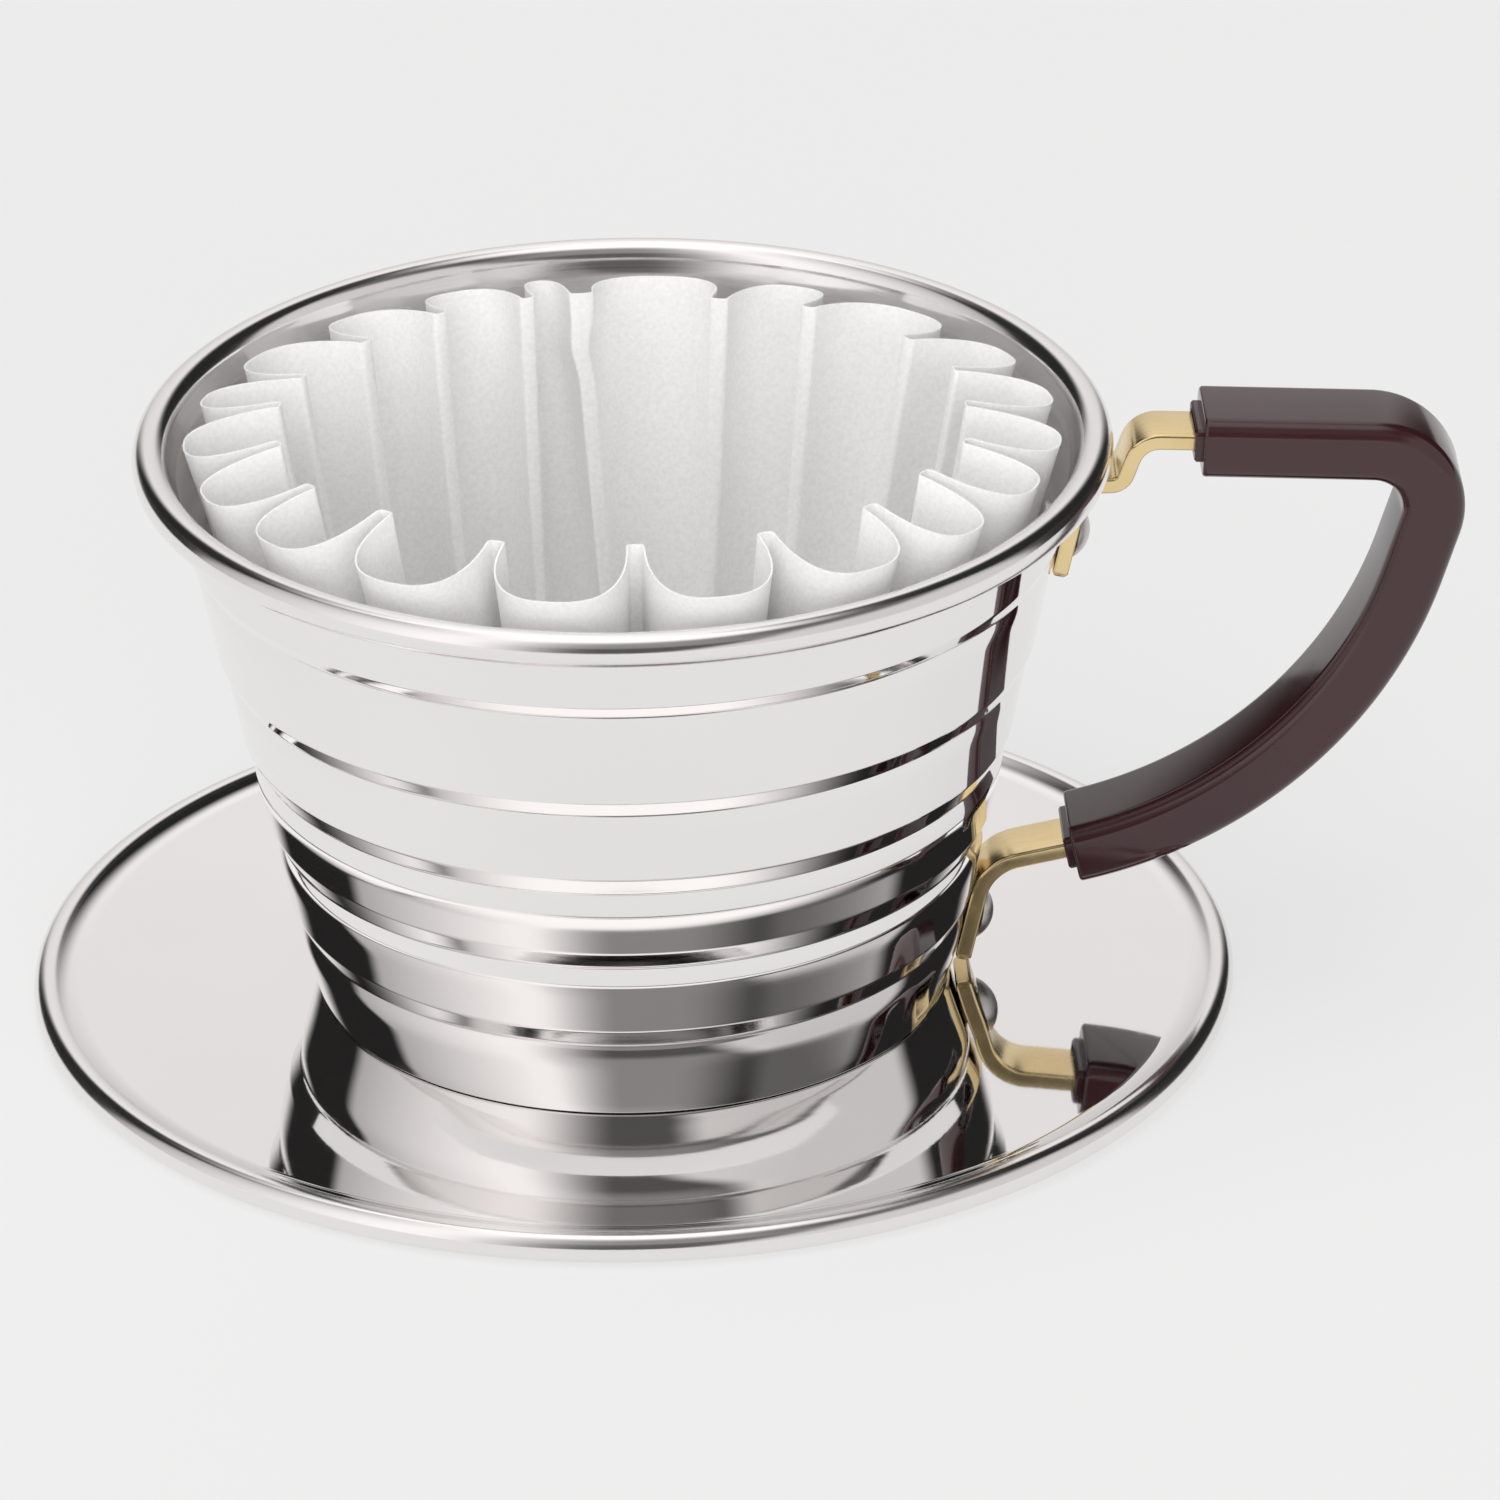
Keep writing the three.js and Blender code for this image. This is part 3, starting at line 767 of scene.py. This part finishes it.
def turned_coordinates(nodes, links):
    """Radius and height in place of X and Z, so that lines follow the turning."""
    place = nodes.new("ShaderNodeTexCoord")
    split = nodes.new("ShaderNodeSeparateXYZ")
    links.new(place.outputs["Object"], split.inputs[0])
    flat = nodes.new("ShaderNodeCombineXYZ")
    links.new(split.outputs[0], flat.inputs[0])
    links.new(split.outputs[1], flat.inputs[1])
    length = nodes.new("ShaderNodeVectorMath")
    length.operation = "LENGTH"
    links.new(flat.outputs[0], length.inputs[0])
    made = nodes.new("ShaderNodeCombineXYZ")
    links.new(length.outputs["Value"], made.inputs[0])
    links.new(split.outputs[2], made.inputs[2])
    return made.outputs[0]


def turned_lines(nodes, links, scale):
    """Fine lines that run round the axis."""
    made = nodes.new("ShaderNodeTexNoise")
    made.inputs["Scale"].default_value = scale
    made.inputs["Detail"].default_value = 3
    links.new(turned_coordinates(nodes, links), made.inputs["Vector"])
    return made.outputs["Fac"]


def dress(surface, tone, tones, relief, strength, depth, rough=None, roughness=None):
    """Sets a surface's colour, relief and, where given, roughness, each from its own pattern."""
    _, nodes, links, shader = surface
    links.new(mix_colour(nodes, links, tone, *tones), shader.inputs["Base Color"])
    if rough:
        links.new(ramp(nodes, links, rough, *roughness), shader.inputs["Roughness"])
    raised = bump(nodes, links, relief, strength, depth)
    links.new(raised.outputs["Normal"], shader.inputs["Normal"])


def new_metal(name):
    surface = new_material(name)
    surface[3].inputs["Metallic"].default_value = 1
    return surface


def mirror_steel():
    """Polished sheet with faint lines left by turning."""
    surface = new_metal("mirror_steel")
    made, nodes, links, _ = surface
    cloud = noise(nodes, links, 60)
    lines = turned_lines(nodes, links, 2600)
    tones = (0.87, 0.855, 0.85), (0.895, 0.885, 0.88)
    dress(surface, cloud, tones, lines, 0.02, 0.00002, lines, (0.025, 0.05))
    return made


def bead_steel():
    """The rolled rim, polished by hand round the edge."""
    surface = new_metal("bead_steel")
    made, nodes, links, _ = surface
    lines = turned_lines(nodes, links, 3200)
    grain = noise(nodes, links, 2300, 3)
    tones = (0.85, 0.83, 0.82), (0.90, 0.885, 0.88)
    dress(surface, lines, tones, grain, 0.1, 0.00002, lines, (0.11, 0.22))
    return made


def brushed_steel():
    """The cup's inside: lines left by turning, softer than the outside."""
    surface = new_metal("brushed_steel")
    made, nodes, links, _ = surface
    lines = turned_lines(nodes, links, 1500)
    tones = (0.84, 0.80, 0.785), (0.94, 0.915, 0.905)
    dress(surface, lines, tones, lines, 0.12, 0.00003, lines, (0.3, 0.42))
    return made


def brass():
    """Satin strip with a grain drawn along it."""
    surface = new_metal("strap_brass")
    made, nodes, links, _ = surface
    cloud = noise(nodes, links, 220, 5)
    grain = noise(nodes, links, 300, 4, (1, 14, 1))
    tones = (0.76, 0.57, 0.26), (0.90, 0.73, 0.43)
    dress(surface, cloud, tones, grain, 0.15, 0.00004, grain, (0.15, 0.3))
    return made


def grip_plastic():
    """Glossy dark brown moulding."""
    surface = new_material("grip_plastic")
    made, nodes, links, shader = surface
    cloud = noise(nodes, links, 90, 3)
    smears = noise(nodes, links, 500)
    waves = noise(nodes, links, 260, 2)
    tones = (0.026, 0.007, 0.009), (0.038, 0.011, 0.013)
    dress(surface, cloud, tones, waves, 0.03, 0.00004, smears, (0.09, 0.15))
    shader.inputs["IOR"].default_value = 1.56
    return made


def rivet_steel():
    """Dull, pressed metal."""
    surface = new_metal("rivet_steel")
    made, nodes, links, _ = surface
    cloud = noise(nodes, links, 700, 5)
    tones = (0.62, 0.60, 0.58), (0.76, 0.75, 0.73)
    dress(surface, cloud, tones, cloud, 0.25, 0.00005, cloud, (0.3, 0.48))
    return made


def filter_paper():
    """Thin crepe paper that lets some light through."""
    surface = new_material("filter_paper")
    made, nodes, links, shader = surface
    cloud = ramp(nodes, links, noise(nodes, links, 2400, 6), 0, 1, 0.35, 0.65)
    fibres = noise(nodes, links, 1500, 6)
    tones = (0.89, 0.89, 0.885), (0.97, 0.97, 0.965)
    dress(surface, cloud, tones, fibres, 0.6, 0.00008)
    shader.inputs["Roughness"].default_value = 0.95
    shader.inputs["Specular IOR Level"].default_value = 0.15
    shader.inputs["Subsurface Weight"].default_value = 0.6
    shader.inputs["Subsurface Radius"].default_value = (1, 1, 1)
    shader.inputs["Subsurface Scale"].default_value = 0.0008
    return made


# ---- paper filter ----
def paper_filter():
    """A closed sheet of paper: flutes with flat backs and upright sides, and narrow double folds."""
    rng = random.Random(SEED)
    count = len(FOLDS)
    depths = [rng.uniform(*DEPTH_SPREAD) for _ in FOLDS]
    lifts = [rng.uniform(*LIFT_SPREAD) for _ in FOLDS]
    sways = [rng.uniform(*SWAY_SPREAD) for _ in FOLDS]
    widths = [rng.uniform(*WIDTH_SPREAD) for _ in FOLDS]
    base_height = SHEET + RIB_HEIGHT + GAP

    def crest_at(level):
        """Outer radius of the flutes at one level, 0 at the base and 1 at the rim."""
        return FILTER_BASE + (FILTER_RIM - FILTER_BASE) * level

    def fold_at(k, level):
        """Direction, inner radius and half width of one fold at one level."""
        even = -90 + (k - FRONT_FOLD) * 360 / count
        top = FOLDS[k]
        drift = (top - even) * level**FOLD_DRIFT
        direction = even + drift + sways[k] * math.sin(math.pi * 2 * level)
        share = FOLD_BASE_WIDTH_SHARE
        width = FOLD_HALF_WIDTH * widths[k] * (share + (1 - share) * level)
        if k == PINCHED_FOLD:
            direction += PINCH_TURN * math.exp(-(((level - PINCH_LEVEL) / PINCH_REACH) ** 2))
            widening = smooth((level - PINCH_WIDENS_FROM) / PINCH_WIDENS_OVER)
            width *= 1 + PINCH_WIDENS * widening
        behind = max(math.sin(math.radians(top)), 0)
        full = FOLD_DEPTH * depths[k] - SHALLOWER_AT_BACK * behind
        depth = FOLD_BASE_DEPTH + (full - FOLD_BASE_DEPTH) * level
        return math.radians(direction), crest_at(level) - depth, width

    def outline(level):
        """The middle of the paper at one level: angle, radius, share of the fold's lift, fold."""
        crest = crest_at(level)
        line = []
        for k in range(count):
            here, tip, width = fold_at(k, level)
            after, next_tip, next_width = fold_at((k + 1) % count, level)
            after += 2 * math.pi * (k == count - 1)
            for j in range(FOLD_STOPS):
                turn = math.pi * ((j + 0.5) / FOLD_STOPS - 0.5)
                across = math.copysign(abs(math.sin(turn)) ** 0.7, turn)
                radius = tip - FOLD_TIP_ROUND * math.cos(turn) ** 0.6
                line.append((here + width / tip * across, radius, 1.0, k))
            start, finish = here + width / tip, after - next_width / next_tip
            for j in range(FLUTE_STOPS + 1):
                turn = math.pi * (j / FLUTE_STOPS - 0.5)
                across = math.copysign(abs(math.sin(turn)) ** 0.72, turn)
                inner, owner = (tip, k) if turn < 0 else (next_tip, (k + 1) % count)
                share = 1 - math.cos(turn) ** 0.9
                angle = (start + finish) / 2 + across * (finish - start) / 2
                line.append((angle, crest + (inner - crest) * share, share, owner))
        return line

    def loop(level, side):
        """One side of the paper at one level: 1 is the outside, -1 the inside."""
        line = outline(level)
        flat = np.array([(r * math.cos(a), r * math.sin(a)) for a, r, _, _ in line])
        along = np.roll(flat, -1, axis=0) - np.roll(flat, 1, axis=0)
        along /= np.linalg.norm(along, axis=1)[:, None]
        square = np.stack([along[:, 1], -along[:, 0]], axis=1)
        flat = flat + square * side * PAPER / 2
        points = []
        for (angle, _, share, owner), (x, y) in zip(line, flat):
            lift = (FOLD_LIFT + lifts[owner]) * share
            top = FILTER_TOP - FILTER_TILT * math.sin(angle) + lift
            points.append((x, y, base_height + (top - base_height) * level))
        return points

    outer = [loop(k / PAPER_LEVELS, 1) for k in range(PAPER_LEVELS + 1)]
    inner = [loop(k / PAPER_LEVELS, -1) for k in range(PAPER_LEVELS + 1)]
    inner[0] = [(x, y, z + PAPER) for x, y, z in inner[0]]
    loops = outer + inner[::-1]
    vertices, faces = skin(loops, False)
    # the flat base is two fans of triangles in place of the skin's two end faces
    del faces[-2:]
    size = len(outer[0])
    last = (len(loops) - 1) * size
    for height, first, downward in ((base_height, 0, True), (base_height + PAPER, last, False)):
        middle = len(vertices)
        vertices.append((0.0, 0.0, height))
        for j in range(size):
            pair = (first + j, first + (j + 1) % size)
            faces.append((*(reversed(pair) if downward else pair), middle))
    return make_object("paper_filter_cup", vertices, faces, FILTER_SHARP_DEGREES)


# ---- stage and light ----
def stage():
    """A floor that glows like a light table, but not under the saucer, where its glow fades out to a
    painted shadow.
    """
    surface, nodes, links, shader = new_material("stage_floor")
    shader.inputs["Base Color"].default_value = (0.2, 0.2, 0.2, 1)
    shader.inputs["Emission Color"].default_value = (1, 1, 1, 1)
    shader.inputs["Roughness"].default_value = 1
    shader.inputs["Specular IOR Level"].default_value = 0
    place = nodes.new("ShaderNodeTexCoord")
    reach = nodes.new("ShaderNodeVectorMath")
    reach.operation = "LENGTH"
    links.new(place.outputs["Object"], reach.inputs[0])
    edge = (SAUCER_RADIUS - SAUCER_CURL) * MM
    start = PAINTED_SHADOW_SHARE * edge
    # painted shadow: the glow fades to nothing under the saucer's edge
    glow = ramp(nodes, links, reach.outputs["Value"], 0.0, FLOOR_GLOW, start, edge)
    links.new(glow, shader.inputs["Emission Strength"])
    half = FLOOR_HALF
    corners = [(-half, -half, 0), (half, -half, 0), (half, half, 0), (-half, half, 0)]
    floor = make_object("stage_floor", corners, [(0, 1, 2, 3)])
    floor.location.z = -FLOOR_DROP * MM
    floor.data.materials.append(surface)


def world():
    """A studio of soft panels round the object, by direction in degrees."""
    made = bpy.data.worlds.new("studio")
    bpy.context.scene.world = made
    made.use_nodes = True
    nodes, links = made.node_tree.nodes, made.node_tree.links
    place = nodes.new("ShaderNodeTexCoord")
    split = nodes.new("ShaderNodeSeparateXYZ")
    links.new(place.outputs["Generated"], split.inputs[0])

    def maths(operation, *values):
        node = nodes.new("ShaderNodeMath")
        node.operation = operation
        for socket, value in zip(node.inputs, values):
            if isinstance(value, (int, float)):
                socket.default_value = value
            else:
                links.new(value, socket)
        return node.outputs[0]

    def linear(value, low, high, to_low, to_high, kind="LINEAR"):
        node = nodes.new("ShaderNodeMapRange")
        node.interpolation_type = kind
        names = ("From Min", "From Max", "To Min", "To Max")
        for name, number in zip(names, (low, high, to_low, to_high)):
            node.inputs[name].default_value = number
        links.new(value, node.inputs["Value"])
        return node.outputs["Result"]

    def step(value, low, high, to_low=0.0, to_high=1.0):
        return linear(value, low, high, to_low, to_high, "SMOOTHSTEP")

    def times(*values):
        product = values[0]
        for value in values[1:]:
            product = maths("MULTIPLY", product, value)
        return product

    def plus(*values):
        total = values[0]
        for value in values[1:]:
            total = maths("ADD", total, value)
        return total

    # azimuth 0 is the camera's side and negative is left of the camera
    degrees = 180 / math.pi
    ahead = times(split.outputs[1], -1.0)
    elevation = times(maths("ARCSINE", split.outputs[2]), degrees)
    azimuth = times(maths("ARCTAN2", split.outputs[0], ahead), degrees)

    left = times(
        step(azimuth, -116, -108),
        step(azimuth, -42, -8, 1, 0),
        linear(azimuth, -108, -48, 0.5, 1.12),
    )
    middle = times(
        step(azimuth, -34, -10),
        step(azimuth, 16, 60, 1, 0),
        step(elevation, 26, 38, 0.08, 0.27),
    )
    # the right panel's near edge leans away from the camera as it rises
    lean = maths("MAXIMUM", times(elevation, 0.85), 0.0)
    right = times(
        step(maths("SUBTRACT", azimuth, lean), 0, 16),
        step(azimuth, 98, 108, 1, 0),
        step(elevation, 38, 52, 0.67, 0.12),
    )
    back = times(
        step(maths("ABSOLUTE", azimuth), 150, 166),
        linear(elevation, 0, 60, 0.62, 1.1),
    )
    panels = plus(left, middle, right, back, 0.02)

    # the panel overhead hides the others, and reaches further down behind on the left
    top_left = times(step(elevation, 44, 66), step(azimuth, -124, -110, 1, 0))
    top = maths("MAXIMUM", step(elevation, 60, 79), top_left)
    level = plus(times(panels, maths("SUBTRACT", 1.0, top)), times(top, 1.25))

    tint = nodes.new("ShaderNodeMix")
    tint.data_type = "RGBA"
    tint.clamp_factor = False
    tint.inputs[6].default_value = (0, 0, 0, 1)
    tint.inputs[7].default_value = (1.0, 0.975, 0.97, 1)
    links.new(level, tint.inputs[0])
    links.new(tint.outputs[2], nodes["Background"].inputs["Color"])


def area_light(name, place, size, power):
    """A round soft light aimed at the origin, which the metal doesn't mirror."""
    data = bpy.data.lights.new(name, "AREA")
    data.shape = "DISK"
    data.size = size
    data.energy = power
    light = bpy.data.objects.new(name, data)
    light.location = place
    light.rotation_mode = "QUATERNION"
    light.rotation_quaternion = (-Vector(place)).to_track_quat("-Z", "Y")
    light.visible_glossy = False
    bpy.context.scene.collection.objects.link(light)


stage()
world()
area_light("key_light", place=(-0.5, -0.4, 1.6), size=2.4, power=14.0)
area_light("fill_light", place=(0.1, -1.8, 0.5), size=1.6, power=24.0)
bpy.context.scene.view_settings.view_transform = "Standard"

steel, bead = mirror_steel(), bead_steel()
finish_piece(saucer(), "dripper", "saucer", [steel, bead])
finish_piece(cup(), "dripper", "cup", [steel, brushed_steel(), bead])
finish_piece(strap(), "dripper", "handle_strap", [brass()])
finish_piece(grip(), "dripper", "grip", [grip_plastic()])
rivet_metal = rivet_steel()
for name, node, height in (
    ("rivet_upper", "upper_rivet", UPPER_RIVET_HEIGHT),
    ("rivet_lower", "lower_rivet", LOWER_RIVET_HEIGHT),
):
    finish_piece(rivet(name, height), "dripper", node, [rivet_metal])
finish_piece(paper_filter(), "filter", "paper_filter", [filter_paper()])
